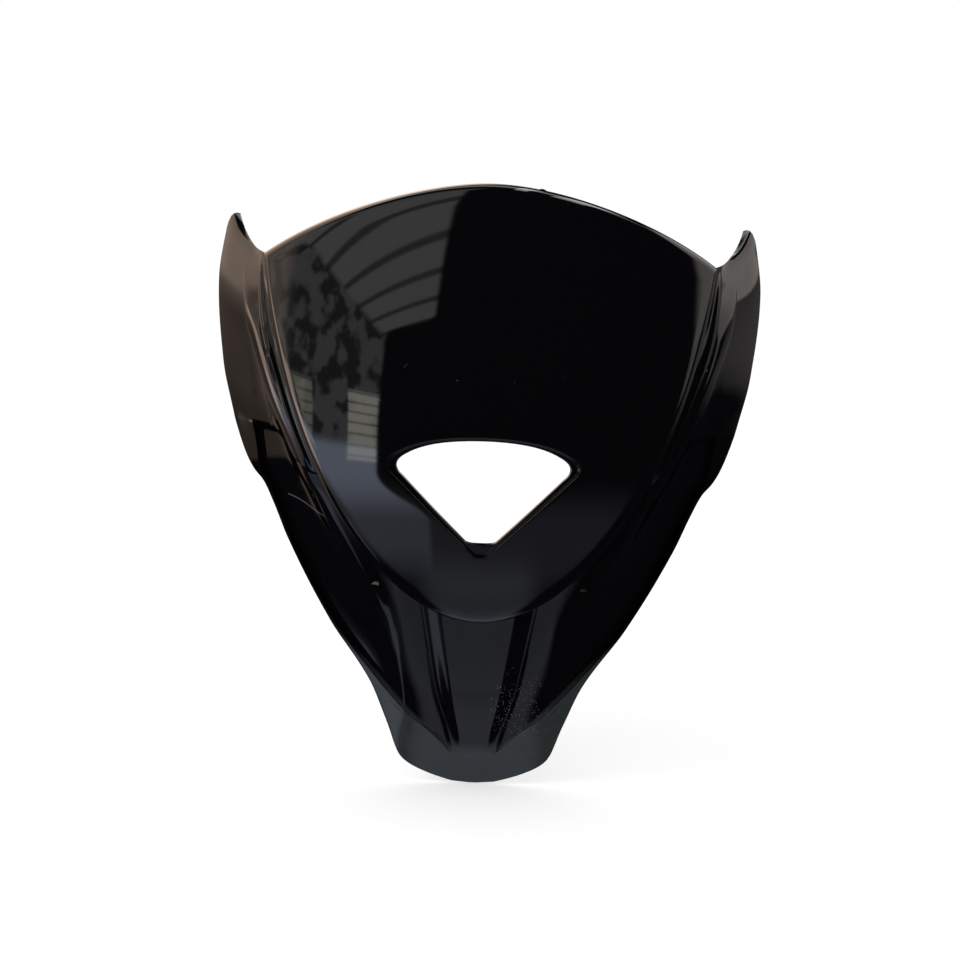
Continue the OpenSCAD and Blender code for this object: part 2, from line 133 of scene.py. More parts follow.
def through(keys, t):
    """A smooth curve through keys of place and value. Between two keys it is a cubic, and its
    slope at a key is the harmonic mean of the slopes on both sides, or level at a turn."""
    place = np.array([k[0] for k in keys], float)
    value = np.array([np.atleast_1d(k[1]) for k in keys], float)
    step = np.diff(value, axis=0) / np.diff(place)[:, None]
    a, b = step[:-1], step[1:]
    turn = np.where(a * b > 0.0, 2.0 * a * b / np.where(a * b > 0.0, a + b, 1.0), 0.0)
    slope = np.vstack([step[:1], turn, step[-1:]])
    t = np.asarray(t, float)
    i = np.clip(np.searchsorted(place, t, side="right") - 1, 0, len(place) - 2)
    h = np.diff(place)[i][..., None]
    s = (t - place[i])[..., None] / h
    curve = (
        value[i] * (2 * s**3 - 3 * s**2 + 1) + slope[i] * h * (s**3 - 2 * s**2 + s)
        + value[i + 1] * (3 * s**2 - 2 * s**3) + slope[i + 1] * h * (s**3 - s**2)
    )
    return curve[..., 0] if np.ndim(keys[0][1]) == 0 else curve


def bezier(points, t):
    """The cubic curve that starts and ends at the outer points, pulled by the inner ones."""
    a, b, c, d = (np.asarray(p, float) for p in points)
    t = np.asarray(t, float)[..., None]
    return a * (1 - t) ** 3 + b * 3 * t * (1 - t) ** 2 + c * 3 * t**2 * (1 - t) + d * t**3


def arc_depth(radius, distance):
    """How far an arc of that radius has fallen back at a distance from its foremost point."""
    return radius - np.sqrt(radius * radius - distance * distance)


def face_depth(p):
    """Depth of the dome at [x, z]: the arc from side to side plus the arc from bottom to top,
    whose radius passes from one value to the other within a hand's width of the origin."""
    upright = mix(RADIUS_BELOW, RADIUS_ABOVE, ease(p[..., 1] / 80.0 + 0.5))
    return arc_depth(RADIUS_ACROSS, p[..., 0]) + arc_depth(upright, p[..., 1])


def outline(q):
    """The face's edge seen from the front: the top edge for q from -1 to 0, from the middle to
    the corner, and the side for q from 0 to 1, from the corner to the middle of the lip."""
    x, z = CORNER
    top = bezier([[0, FACE_TOP], [0.3 * x, FACE_TOP], [0.73 * x, mix(z, FACE_TOP, 0.58)], [x, z]], q + 1)
    side = bezier([[x, z], [x - SIDE_LEAN, z - SIDE_REACH],
                   [LIP_REACH, -FACE_BOTTOM], [0, -FACE_BOTTOM]], q)
    return np.where((q < 0)[..., None], top, side)


def outward(q):
    """The way out of the face's edge, one long where the edge is smooth and mitred at corners:
    the sum of the normals on both sides over one plus their product."""
    e = 0.002
    before = np.maximum(q - e, -1.0)
    after = np.minimum(q + e, 1.0)
    back = outline(q) - outline(before)
    ahead = outline(after) - outline(q)
    back = np.where((q <= -1.0)[..., None], ahead, back)
    ahead = np.where((q >= 1.0)[..., None], back, ahead)
    a = unit(np.stack([-back[..., 1], back[..., 0]], -1))
    b = unit(np.stack([-ahead[..., 1], ahead[..., 0]], -1))
    out = (a + b) / (1.0 + np.sum(a * b, -1, keepdims=True))
    out[q <= -1.0] = [0, 1]
    out[q >= 1.0] = [0, -1]
    return out


def window(s, grow):
    """Half of the window's outline, from its top (s = 0) round the side to its foot (s = 1):
    the hole for grow 0 and the rim of its seat for grow 1, in curves and one straight flank."""
    h = WINDOW_HALF + grow * SEAT_SIDE
    t = WINDOW_TOP + grow * SEAT_ABOVE
    b = WINDOW_BOTTOM + grow * SEAT_BELOW
    f = WINDOW_FOOT * (1 - 0.45 * grow)
    shoulder, hip, toe = [0.87 * h, 0.62 * t], [0.93 * h, 0], [f, -0.965 * b]
    crown = bezier([[0, t], [0.42 * h, t], [0.7 * h, 0.85 * t], shoulder], s / 0.35)
    corner = bezier([shoulder, [1.02 * h, 0.44 * t], [1.06 * h, 0.24 * t], hip], (s - 0.35) / 0.15)
    flank = mix(np.array(hip), np.array(toe), ((s - 0.5) / 0.42)[..., None])
    foot = bezier([toe, [0.8 * f, -b], [0.5 * f, -b], [0, -b]], (s - 0.92) / 0.08)
    return np.select([(s < k)[..., None] for k in (0.35, 0.5, 0.92)], [crown, corner, flank], foot)


def window_outward(s):
    """The way out of the rim of the window's seat: its tangent turned by a quarter."""
    e = 0.012
    t = window(np.minimum(s + e, 1.0), 1) - window(np.maximum(s - e, 0.0), 1)
    out = unit(np.stack([-t[..., 1], t[..., 0]], -1))
    out[s <= 0.0] = [0, 1]
    out[s >= 1.0] = [0, -1]
    return out


def window_place(q):
    """The place on the window's outline that faces the place q on the face's edge."""
    keys = [[0, 0.25], [0.2, 0.38], [0.35, 0.47], [0.42, 0.53], [0.8, 0.88], [0.88, 0.935], [1, 1]]
    return np.where(q < 0, 0.25 * (q + 1), through(keys, np.maximum(q, 0.0)))


def rounding(q):
    """Radius of the rounding along the face's edge, larger towards the lip."""
    return mix(TOP_ROUNDING, LIP_ROUNDING, ease(q / 0.7))


def wall_depth(q):
    """Depth of the side wall behind the rounding: a shallow flange above, deep at the lip."""
    return np.where(q < 0, TOP_FLANGE, mix(TOP_FLANGE, LIP_WALL, ease(q * 1.15)))


def recess_share(u, sharp):
    """1 along the side recess and 0 beside it, with steps that are straight or rounded."""
    bend = (lambda t: np.clip(t, 0.0, 1.0)) if sharp else ease
    return bend((u - WING_END) / STEP) * (1 - bend((u - KEEL_EDGE + STEP) / STEP))


def keel_share(u):
    """0 beside the keel, rising from its edge to 1 on its flat middle."""
    return ease((u - KEEL_EDGE) / (KEEL_RIDGE - KEEL_EDGE))


def rim_place(u):
    """Share of the way to the free edge at which the recess ends and its rim starts."""
    keys = [[0, 0.6], [0.125, 0.56], [0.27, 0.6], [WING_END, 0.8], [WING_END + STEP, 0.804],
            [0.47, 0.93], [0.52, 0.945], [0.6, 0.955], [0.675, 0.95], [0.7, 0.92], [0.725, 0.82],
            [0.75, 0.73], [0.775, 0.745], [0.8, 0.835], [0.9, 0.85], [1, 0.85]]
    return through(keys, u)


def level(u, f, floor, sharp):
    """How far the side lies behind its plain panel: the recess's drop where floor is 1, less
    the keel's rise and the swell, a half wave from the foot to the free edge."""
    along = np.clip(f / rim_place(u), 0.0, 1.0)
    fade = 1 - 0.8 * ease((u - 0.68) / 0.12) * along**1.5
    drop = RECESS_DEPTH * recess_share(u, sharp) * floor * fade
    rise = KEEL_RISE * keel_share(u) * (1 - ease((f - 0.4) / 0.45))
    swell = through([[0, 0.2], [0.2, 1], [WING_END, 0.6], [0.6, 0.5], [KEEL_EDGE, 0], [1, 0]], u)
    return drop - rise - WING_SWELL * swell * np.sin(np.pi * np.minimum(f, 1.0))


def foot(u):
    """The line where the side wall of the face meets the panels beside and below it."""
    e = outline(u)
    p = e + DRAFT * outward(u)
    return np.stack([p[..., 0], face_depth(e) + rounding(u) + wall_depth(u), p[..., 1]], -1)


def free_edge(u):
    """The shield's outer edge: horn, wing, waist, recess and chin, a curve through keys."""
    x, y, z = HORN
    keys = [
        [0, [x - 3, y, z - 0.7]],
        [0.01, [x, y - 0.3, z]],
        [0.02, [x + 2.6, y - 1.2, z - 1.9]],
        [0.032, [x + 5, y - 3, z - 8.2]],
        [0.11, [WIDTH / 2, WING_BACK, CORNER[1] - 16]],
        [0.27, [WIDTH / 2 - 4.2, WING_BACK - 8, 57]],
        [WING_END, [WIDTH / 2 - 12.5, WING_BACK - 13, 21]],
        [0.445, [WAIST_X + 11.5, SIDE_BACK + 4.5, WAIST_Z + 17]],
        [0.46, [WAIST_X + 6, SIDE_BACK + 3, WAIST_Z + 7]],
        [0.475, [WAIST_X, SIDE_BACK + 2, WAIST_Z]],
        [0.50, [WAIST_X - 6.5, SIDE_BACK + 1, WAIST_Z - 13]],
        [0.535, [WAIST_X - 16, SIDE_BACK, WAIST_Z - 35]],
        [0.63, [mix(CHIN_HALF, WAIST_X, 0.515), SIDE_BACK - 2, -102]],
        [0.70, [CHIN_HALF + 20, SIDE_BACK - 5, -139]],
        [0.725, [CHIN_HALF + 9.3, SIDE_BACK - 4, -164]],
        [0.75, [CHIN_HALF, CHIN_BACK - 3, CHIN_BOTTOM + 16]],
        [0.775, [0.66 * CHIN_HALF, CHIN_BACK - 1.5, CHIN_BOTTOM + 6.5]],
        [KEEL_EDGE, [KEEL_FOOT, CHIN_BACK, CHIN_BOTTOM + 0.8]],
        [1, [0, CHIN_BACK, CHIN_BOTTOM]],
        [2 - KEEL_EDGE, [-KEEL_FOOT, CHIN_BACK, CHIN_BOTTOM + 0.8]],
    ]
    return through(keys, u)


def across(u, f, shape):
    """A line from the foot to the free edge at u, straight but for the offsets that shape
    lists as [share of the way, share of the chord, offset]."""
    a, b = foot(np.array(u, float)), free_edge(np.array(u, float))
    inner = [[s, mix(a, b, c) + np.array(o, float)] for s, c, o in shape]
    return through([[0, a], *inner, [1, b]], f)


def horn_line(f):
    """The top edge of the wing, from the face's upper corner to the tip of the horn."""
    return across(0, f, [[0.25, 0.26, [0.7, 0, -3.2]], [0.45, 0.46, [0.8, 0, -3.8]],
                         [0.7, 0.7, [0.9, 0, -3.1]], [0.88, 0.88, [0.7, 0, -0.9]]])


def recess_top(f):
    """The line that ends the wing and starts the recess, with its raised outer corner."""
    shape = [[0.18, 0.2, [1, -3, 0]], [0.55, 0.55, [-1, 2, 9.5]], [0.8, 0.8, [-1.2, 1, 4.5]]]
    return across(WING_END, f, shape)


def keel_line(f):
    """The keel's outer edge, from the lip to the chin."""
    return across(KEEL_EDGE, f, [[0.5, 0.5, [0, -3, 0]], [0.835, 0.835, [-2.7, -1, 0]]])


def middle_line(f):
    """The keel's middle, from the lip to the chin."""
    return across(1, f, [[0.5, 0.5, [0, -3, 0]], [0.85, 0.85, [0, -1, 0]]])


def side_panel(u, f):
    """The plain panels beside and below the face. Each is stretched between its foot, its free
    edge and its two end lines: the blend of one pair plus the blend of the other, less the
    blend of the four corners."""
    bays = [(0, WING_END, horn_line, recess_top), (WING_END, KEEL_EDGE, recess_top, keel_line),
            (KEEL_EDGE, 1, keel_line, middle_line)]
    panel = np.zeros(f.shape + (3,))
    for first, last, start, end in bays:
        own = (u >= first) & (u <= last)
        g = f[:, own]
        t = ((u[own] - first) / (last - first))[None, :, None]
        along = mix(foot(u[own])[None], free_edge(u[own])[None], g[..., None])
        ends = np.array([first, last], float)
        near, far = foot(ends), free_edge(ends)
        corners = mix(mix(near[0], far[0], g[..., None]), mix(near[1], far[1], g[..., None]), t)
        panel[:, own] = along + mix(start(g), end(g), t) - corners
    return panel


# Places of the columns on one half: the top edge, the wing, the recess and the keel, with a
# few close together on the steps at both ends of the recess
HALF = np.concatenate([
    np.linspace(-1, 0, 56, endpoint=False),
    np.linspace(0, WING_END, 60, endpoint=False),
    WING_END + STEP * np.linspace(0, 1, 6, endpoint=False),
    np.linspace(WING_END + STEP, KEEL_EDGE - STEP, 84, endpoint=False),
    KEEL_EDGE - STEP * np.linspace(1, 0, 6, endpoint=False),
    np.linspace(KEEL_EDGE, 1, 42),
])
TOP_COUNT = 56
LAST = len(HALF) - 1
COLUMNS = 2 * LAST
QUARTER = np.linspace(0, np.pi / 2, 6)


def lifted(p, depth):
    """Points [x, z] on the dome or a depth behind it, as [x, y, z]."""
    return np.stack([p[..., 0], face_depth(p) + depth, p[..., 1]], -1)


def face_rows(q, back):
    """Rows from the window's edge to the foot of the side wall: the seat, its wall and the
    rounding at the rim, the dome, the rounding of the outline and the side wall. The back has
    sharp corners in the same number of rows, so that it can follow one wall behind."""
    s = window_place(q)
    hole, rim = window(s, 0), window(s, 1)
    n, out = window_outward(s), outward(q)
    seat = rim - DRAFT * n
    if back:
        rows = [lifted(mix(hole, seat, k), SEAT_DEPTH) for k in np.linspace(0, 1, 5)]
        rows += [lifted(mix(seat, rim, k), SEAT_DEPTH * (1 - k)) for k in np.linspace(0.2, 1, 5)]
        rows += [lifted(rim + k * 1.5 * WALL * n, 0) for k in np.linspace(0.2, 1, 5)]
        brow = rim + 1.5 * WALL * n
    else:
        inward = unit(seat - hole)
        turns = np.linspace(0, np.pi / 2, 4)
        rows = [lifted(hole + HOLE_ROUND * (1 - np.cos(a)) * inward,
                       SEAT_DEPTH + HOLE_ROUND * (1 - np.sin(a))) for a in turns]
        rows.append(lifted(mix(hole, seat, 0.5), SEAT_DEPTH))
        rows += [lifted(seat - SEAT_FILLET * (1 - np.sin(a)) * n,
                        SEAT_DEPTH - SEAT_FILLET * (1 - np.cos(a))) for a in turns]
        rows += [lifted(rim + EDGE_ROUND * (1 - np.cos(a)) * n,
                        EDGE_ROUND * (1 - np.sin(a))) for a in QUARTER]
        brow = rim + EDGE_ROUND * n
    e = outline(q)
    r = rounding(q)[..., None]
    start = e - r * out
    rows += [lifted(mix(brow, start, k), 0) for k in np.linspace(0, 1, FACE_ROWS + 1)[1:]]
    first, last = face_depth(start), face_depth(e)
    for a in QUARTER[1:]:
        p = e - r * (1 - np.sin(a)) * out
        y = mix(first, last, np.sin(a)) + r[..., 0] * (1 - np.cos(a))
        rows.append(np.stack([p[..., 0], y, p[..., 1]], -1))
    base = foot(q)
    base[..., 1] += RECESS_DEPTH * recess_share(q, back) - KEEL_RISE * keel_share(q)
    near = 1 - (CORNER_STRIP / np.linalg.norm(base - rows[-1], axis=-1))[..., None]
    return np.array(rows + [mix(rows[-1], base, k) for k in (0.25, 0.5, 0.75, near, 1)])


def stations(marks, counts):
    """Rows between marks, each run cut into its own count of equal steps."""
    rows = []
    for a, b, count in zip(marks[:-1], marks[1:], counts):
        rows += [mix(a, b, k / count) for k in range(1, count + 1)]
    return np.array(rows)


def side_rows(u, back):
    """Rows from the foot to the free edge. The front carries the bead, a rounded ridge beside
    the face, the leaf, a ramp that ends in a crisp step, the crease, which is a low tent that
    runs down the wing to the recess, and the rounding of the free edge."""
    bead = through([[0, 0.1], [0.125, 0.13], [0.27, 0.085], [WING_END, 0.09], [1, 0.1]], u)
    leaf_in = through([[0, 0.16], [0.125, 0.2], [0.27, 0.13], [WING_END, 0.15], [1, 0.18]], u)
    leaf_out = through([[0, 0.45], [0.125, 0.49], [0.27, 0.385], [WING_END, 0.55],
                        [0.6, 0.5], [1, 0.42]], u)
    rim = rim_place(u)
    chord = np.linalg.norm(free_edge(u) - foot(u), axis=-1)
    zero = np.zeros_like(u)
    near, wall, step = CORNER_STRIP / chord, RIM_WALL / chord, LEAF_STEP / chord
    inset = 1 - EDGE_ROUND / chord
    marks = [zero, near, bead, leaf_in, leaf_out, leaf_out + step, rim, rim + wall, inset, zero + 1]
    f = stations(marks, [1, 6, 5, 8, 4, 7, 6, 4, 5])
    ramp = np.clip((f - rim) / wall, 0.0, 1.0)
    if back:
        filled = ease((u - WING_END) / 0.02) * (1 - ease((u - 0.69) / 0.035))
        floor = np.maximum(1 - ramp, filled)
        relief = 0.0
    else:
        floor = 1 - ease(ramp)
        shape = ease(u / 0.06) * ease((WING_END + 0.02 - u) / 0.05)
        ridge = np.where(f < bead, 1 - ease((bead - f) / (0.55 * bead)),
                         1 - ease((f - bead) / (0.6 * (leaf_in - bead))))
        lift = ease((u - 0.05) / 0.1) * ease((WING_END + STEP - u) / STEP)
        valley = mix(bead, leaf_in, 0.6)
        rise = np.clip((f - valley) / (leaf_out - valley), 0.0, 1.0)
        leaf = (1.6 * rise - 0.6 * rise**2) * (1 - ease((f - leaf_out) / step))
        turn = np.clip((f - inset) / (1 - inset), 0.0, 1.0)
        beyond = leaf_out + step
        tent = np.clip(np.minimum((f - beyond) / (rim - beyond), (1 - f) / (1 - rim)), 0.0, 1.0)
        crease = tent * ease((u - 0.16) / 0.14) * ease((WING_END - 0.035 - u) / 0.08)
        relief = (BEAD_RISE * shape * ridge + LEAF_RISE * lift * leaf + CREASE_RISE * crease
                  - EDGE_ROUND * (1 - np.sqrt(1 - turn**2)))
    p = side_panel(u, f)
    p[..., 1] += level(u, f, floor, back) - relief
    return p


def skin(back):
    """One skin of the shell on the whole ring of columns, mirrored from one half. The rows of
    the sides are empty along the top edge."""
    beside = HALF >= 0
    faces = face_rows(HALF, back)
    sides = np.full((SIDE_ROWS, len(HALF), 3), np.nan)
    sides[:, beside] = side_rows(HALF[beside], back)
    half = np.concatenate([faces, sides])
    return np.concatenate([half, half[:, LAST - 1:0:-1] * [-1, 1, 1]], axis=1)


def one_wall_behind(core):
    """Each point moves back so that every face next to it moves by one wall: along the sum of
    the faces' normals, by the wall over the mean of their shares in that direction."""
    ahead = np.roll(core, -1, axis=1)
    normal = unit(np.cross(ahead[:-1] - core[1:], ahead[1:] - core[:-1]))
    there = np.isfinite(normal[..., 0])
    normal = np.where(there[..., None], normal, 0.0)
    pad = ((1, 1), (0, 0), (0, 0))
    normal, count = np.pad(normal, pad), np.pad(there.astype(float), pad[:2])
    total = normal[:-1] + normal[1:]
    total = total + np.roll(total, 1, axis=1)
    count = count[:-1] + count[1:]
    count = count + np.roll(count, 1, axis=1)
    share = np.linalg.norm(total, axis=-1) / np.maximum(count, 1.0)
    return core - unit(total) * (WALL / np.maximum(share, 0.6))[..., None]


HOLE_ROUND = 0.5
SEAT_FILLET = 0.6
CORNER_STRIP = 0.35
RIM_WALL = 1.3
LEAF_STEP = 1.2
FACE_ROWS = 17
SIDE_ROWS = 46

front = skin(False)
back = one_wall_behind(skin(True))
ROWS = len(front)
FACE_END = ROWS - SIDE_ROWS - 1
numbers = np.cumsum(np.isfinite(front[..., 0])).reshape(ROWS, COLUMNS) - 1
points = np.concatenate([grid[np.isfinite(grid[..., 0])] for grid in (front, back)]) * MM
BACK = len(points) // 2


def ring_quads():
    """Quads of the front skin, then of the back skin, then the strips that close the edge of
    the window and the shield's free border, all seen anticlockwise from outside."""
    ring = np.arange(COLUMNS)
    strip = np.arange(TOP_COUNT, COLUMNS - TOP_COUNT)
    quads = []
    for rows, columns in ((np.arange(FACE_END), ring), (np.arange(FACE_END, ROWS - 1), strip)):
        r, c = np.meshgrid(rows, columns, indexing="ij")
        d = (c + 1) % COLUMNS
        quad = [numbers[r, c], numbers[r, d], numbers[r + 1, d], numbers[r + 1, c]]
        quads.append(np.stack(quad, -1).reshape(-1, 4))
    skins = np.concatenate(quads)
    top = np.arange(-TOP_COUNT, TOP_COUNT + 1) % COLUMNS
    border = np.concatenate([
        numbers[FACE_END, top],
        numbers[FACE_END + 1:, TOP_COUNT],
        numbers[-1, TOP_COUNT + 1:COLUMNS - TOP_COUNT + 1],
        numbers[-2:FACE_END:-1, COLUMNS - TOP_COUNT],
    ])
    hole, edge = numbers[0], np.roll(border, -1)
    after = np.roll(hole, -1)
    return np.concatenate([
        skins, skins[:, ::-1] + BACK,
        np.stack([hole, hole + BACK, after + BACK, after], -1),
        np.stack([edge, edge + BACK, border + BACK, border], -1),
    ])


def solid(name, points, faces, material, inside):
    """A smooth-shaded piece whose corners over 35 degrees stay crisp. Its attribute inside is 1
    on the unpolished back and 0 on the glossy front."""
    mesh = bpy.data.meshes.new(name)
    low, high = (np.array(corner) for corner in cad_box)
    mesh.from_pydata(np.clip(points, low, high).tolist(), [], faces)
    marks = mesh.attributes.new("inside", "FLOAT", "POINT").data
    marks.foreach_set("value", np.asarray(inside, np.float32))
    mesh.shade_smooth()
    mesh.set_sharp_from_angle(angle=math.radians(35))
    mesh.materials.append(material)
    piece = bpy.data.objects.new(name, mesh)
    bpy.context.scene.collection.objects.link(piece)
    return piece


class Wire:
    """A shader socket in an expression: + - * / and the methods below add the nodes."""

    def __init__(self, tree, socket):
        self.tree, self.socket = tree, socket

    def add(self, kind, settings, *values, out=0, **named):
        """A node of that kind: its settings first, then the values or links of its sockets."""
        node = self.tree.nodes.new(kind)
        for key, value in settings.items():
            setattr(node, key, value)
        pairs = list(enumerate(values)) + list(named.items())
        for key, value in pairs:
            socket = node.inputs[key.replace("_", " ") if isinstance(key, str) else key]
            if isinstance(value, Wire):
                self.tree.links.new(value.socket, socket)
            elif value is not None:
                socket.default_value = value
        return Wire(self.tree, node.outputs[out])

    def maths(self, operation, *values):
        """One Math node on the values given."""
        return self.add("ShaderNodeMath", {"operation": operation}, *values)

    def __add__(self, other):
        return self.maths("ADD", self, other)

    def __radd__(self, other):
        return self.maths("ADD", other, self)

    def __sub__(self, other):
        return self.maths("SUBTRACT", self, other)

    def __rsub__(self, other):
        return self.maths("SUBTRACT", other, self)

    def __mul__(self, other):
        return self.maths("MULTIPLY", self, other)

    def __rmul__(self, other):
        return self.maths("MULTIPLY", other, self)

    def __truediv__(self, other):
        return self.maths("DIVIDE", self, other)

    def distance(self):
        """How far the value is from 0."""
        return self.maths("ABSOLUTE", self)

    def ramp(self, low, high):
        """0 below low, 1 above high and a smooth run between, either way round."""
        if low < high:
            smooth = {"interpolation_type": "SMOOTHSTEP"}
            return self.add("ShaderNodeMapRange", smooth, self, low, high, 0.0, 1.0)
        return 1 - self.ramp(high, low)

    def colour(self, first, second):
        """The colour a share of the way from the first to the second."""
        mixed = self.tree.nodes.new("ShaderNodeMix")
        mixed.data_type = "RGBA"
        self.tree.links.new(self.socket, mixed.inputs["Factor"])
        for socket, value in ((mixed.inputs[6], first), (mixed.inputs[7], second)):
            if isinstance(value, Wire):
                self.tree.links.new(value.socket, socket)
            else:
                socket.default_value = (*value, 1.0)
        return Wire(self.tree, mixed.outputs[2])


CLEAN_FRONT = (0.0018, 0.0018, 0.0022)
CLEAN_BACK = (0.012, 0.012, 0.013)
# Paler grey painted on the chin and its flanges as a sheen of reflected ground
PAINTED_CHIN_SHEEN = (0.034, 0.04, 0.042)
DUST = (0.3, 0.3, 0.3)
GLOSS_ROUGHNESS = 0.035
SATIN_ROUGHNESS = 0.42
PLASTIC_IOR = 1.5


def gloss_black():
    """Gloss-black plastic: nearly black, mirror-smooth with a trace of orange peel, dust, a hair
    and a wiped smear, and a paler grey painted sheen on the chin. The back of the moulding is an
    unpolished, finely grained satin."""
    material = bpy.data.materials.new("gloss_black_plastic")
    material.use_nodes = True
    tree = material.node_tree
    shader = tree.nodes["Principled BSDF"]
    w = Wire(tree, None)
    place = w.add("ShaderNodeTexCoord", {}, out="Object")
    inside = w.add("ShaderNodeAttribute", {"attribute_name": "inside"}, out="Fac").ramp(0.7, 1.0)
    parts = w.add("ShaderNodeSeparateXYZ", {}, place)
    x, z = Wire(tree, parts.socket.node.outputs["X"]), Wire(tree, parts.socket.node.outputs["Z"])

    def noise(scale, detail=2.0):
        return w.add("ShaderNodeTexNoise", {}, Vector=place, Scale=scale, Detail=detail, out="Fac")

    # Dust lies thickest low in one recess, and thinly elsewhere
    thick = (x - 0.026).distance().ramp(0.026, 0.008) * (z + 0.15).distance().ramp(0.032, 0.01)
    spots = w.add("ShaderNodeTexVoronoi", {}, Vector=place, Scale=720.0, out="Distance").ramp(0.2, 0.08)
    dust = spots * (noise(150.0) + thick * 0.34).ramp(0.72, 0.8) * (1 - inside)
    # A pale hair lies across the other recess
    hair = z + 0.386 * x + 0.0692 + 0.0005 * w.maths("SINE", x * 300.0)
    hair = hair.distance().ramp(0.0004, 0.0001) * (x + 0.106).distance().ramp(0.0125, 0.0115)
    dust = dust + hair * (1 - inside) * 0.4
    # A wiped smear lies below it
    smear = noise(60.0, 3.0).ramp(0.45, 0.65) * (x + 0.035).distance().ramp(0.012, 0.005) \
        * (z + 0.144).distance().ramp(0.016, 0.007) * (1 - inside)
    # A thin paler grey on the chin and on the flanges beside it, with a rougher finish: a painted sheen
    # that stands in for the ground they reflect
    flange = (x.distance() - z).ramp(0.192, 0.197) * z.ramp(-0.1, -0.13)
    chin = w.maths("MAXIMUM", z.ramp(-0.172, -0.184), flange)
    chin = chin * (0.7 + 0.6 * noise(110.0)) * (1 - inside)
    clean = inside.colour(CLEAN_FRONT, CLEAN_BACK)
    # The base colour carries the painted sheen on the chin, then the dust
    base = dust.colour(chin.colour(clean, PAINTED_CHIN_SHEEN), DUST)
    tree.links.new(base.socket, shader.inputs["Base Color"])
    film = noise(14.0, 3.0).ramp(0.35, 0.75)
    rough = GLOSS_ROUGHNESS + 0.03 * film + 0.22 * smear + 0.12 * chin + 0.4 * dust
    rough = rough * (1 - inside) + inside * (SATIN_ROUGHNESS + 0.08 * noise(90.0))
    tree.links.new(rough.socket, shader.inputs["Roughness"])
    peel = noise(420.0, 1.0) * 0.06 * (1 - inside) + noise(2600.0, 2.0) * inside
    bump = w.add("ShaderNodeBump", {}, Strength=0.25, Distance=0.00006, Height=peel)
    tree.links.new(bump.socket, shader.inputs["Normal"])
    shader.inputs["IOR"].default_value = PLASTIC_IOR
    return material


plastic = gloss_black()
inside = np.concatenate([np.zeros(BACK), np.ones(BACK)])
shell = solid("front_shield_shell", points, ring_quads().tolist(), plastic, inside)
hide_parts("front_shield")
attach(shell, "root")


# Screw bosses and pegs.
# Moulded on the back of the shell, in its unpolished satin: four round bosses with blind pilot
# holes for self-tapping screws, and two shouldered pegs. A thin rib stiffens each of them.

BOSS_D = 9.0
PILOT_D = 3.4
PILOT_DEPTH = 11.0
UPPER_BOSS = [140.0, 97.0, 62.0]
LOWER_BOSS = [72.0, 82.0, -72.0]
PEG = [92.0, 60.0, 92.0]
PEG_D = 7.0
PEG_LENGTH = 10.0
STEM_D = 10.5
RIB = 1.8
CHAMFER = 0.5
TURNS = 64


def side_point(u, f):
    """The side panel at one place, as the back skin has it."""
    u, f = np.array([u]), np.array([[f]])
    p = side_panel(u, f)
    p[..., 1] += level(u, f, 1.0, True)
    return p[0, 0]


def side_spot(x, z, u, f):
    """The point of the side panel at [x, z] and the way through it to the back. From the guess
    u, f each try solves the two slopes for the distance that is left."""
    e = 0.001
    for _ in range(8):
        p = side_point(u, f)
        a, b = (side_point(u + e, f) - p) / e, (side_point(u, f + e) - p) / e
        area = a[0] * b[2] - b[0] * a[2]
        dx, dz = x - p[0], z - p[2]
        u, f = u + (dx * b[2] - b[0] * dz) / area, f + (a[0] * dz - dx * a[2]) / area
    n = unit(np.cross(a, b))
    return p, n * np.sign(n[1])


def face_spot(x, z):
    """The point of the dome at [x, z] and the way through it to the back."""
    e = 0.01
    y, right, above = (face_depth(np.array(q)) for q in ([x, z], [x + e, z], [x, z + e]))
    return np.array([x, y, z]), unit(np.array([(y - right) / e, 1.0, (y - above) / e]))


def middle_depth(spot, x, z):
    """Depth of the middle of the wall at [x, z], on the plane that touches it at the spot."""
    p, n = spot
    return p[1] + (WALL / 2 - n[0] * (x - p[0]) - n[2] * (z - p[2])) / n[1]


def turned(spot, rings):
    """A body turned about a line along Y through the spot. Rings are [radius, depth], and the
    first stands on the slanted middle of the wall. Its two ends are closed by a fan."""
    (x, _, z), angle = spot[0], np.arange(TURNS) * 2 * np.pi / TURNS
    radius, depth = (np.array(column)[:, None] for column in zip(*rings))
    px, pz = x + radius * np.cos(angle), z + radius * np.sin(angle)
    py = depth + 0 * px
    py[0] = middle_depth(spot, px[0], pz[0])
    grid = np.stack([px, py, pz], -1).reshape(-1, 3)
    ends = [[x, middle_depth(spot, x, z), z], [x, rings[-1][1], z]]
    k, j = np.meshgrid(np.arange(len(rings) - 1), np.arange(TURNS), indexing="ij")
    a, b = k * TURNS + j, k * TURNS + (j + 1) % TURNS
    quads = np.stack([a, b, b + TURNS, a + TURNS], -1).reshape(-1, 4).tolist()
    j, after, last = np.arange(TURNS), (np.arange(TURNS) + 1) % TURNS, (len(rings) - 1) * TURNS
    low, high = np.full(TURNS, len(grid)), np.full(TURNS, len(grid) + 1)
    fans = [np.stack([low, after, j], -1), np.stack([high, last + j, last + after], -1)]
    return np.vstack([grid, ends]), quads + np.concatenate(fans).tolist()


def gusset(spot, d, end):
    """A flat rib beside a post, on its side towards the middle: a triangle from the post's
    shoulder down to where its sloping edge meets the middle of the wall."""
    x, y, z = spot[0]
    side, reach = np.sign(x), 1.5 * d
    top = end - d / 2
    share = 1 - (middle_depth(spot, x, z) - y) / (top - y)
    toe = x - side * reach * share
    corners = [[x, top], [x, middle_depth(spot, x, z)], [toe, middle_depth(spot, toe, z)]]
    points = [[a, b, z + h] for h in (-RIB / 2, RIB / 2) for a, b in corners]
    faces = [[0, 1, 2], [5, 4, 3], [0, 3, 4, 1], [1, 4, 5, 2], [2, 5, 3, 0]]
    return np.array(points), faces if side > 0 else [face[::-1] for face in faces]


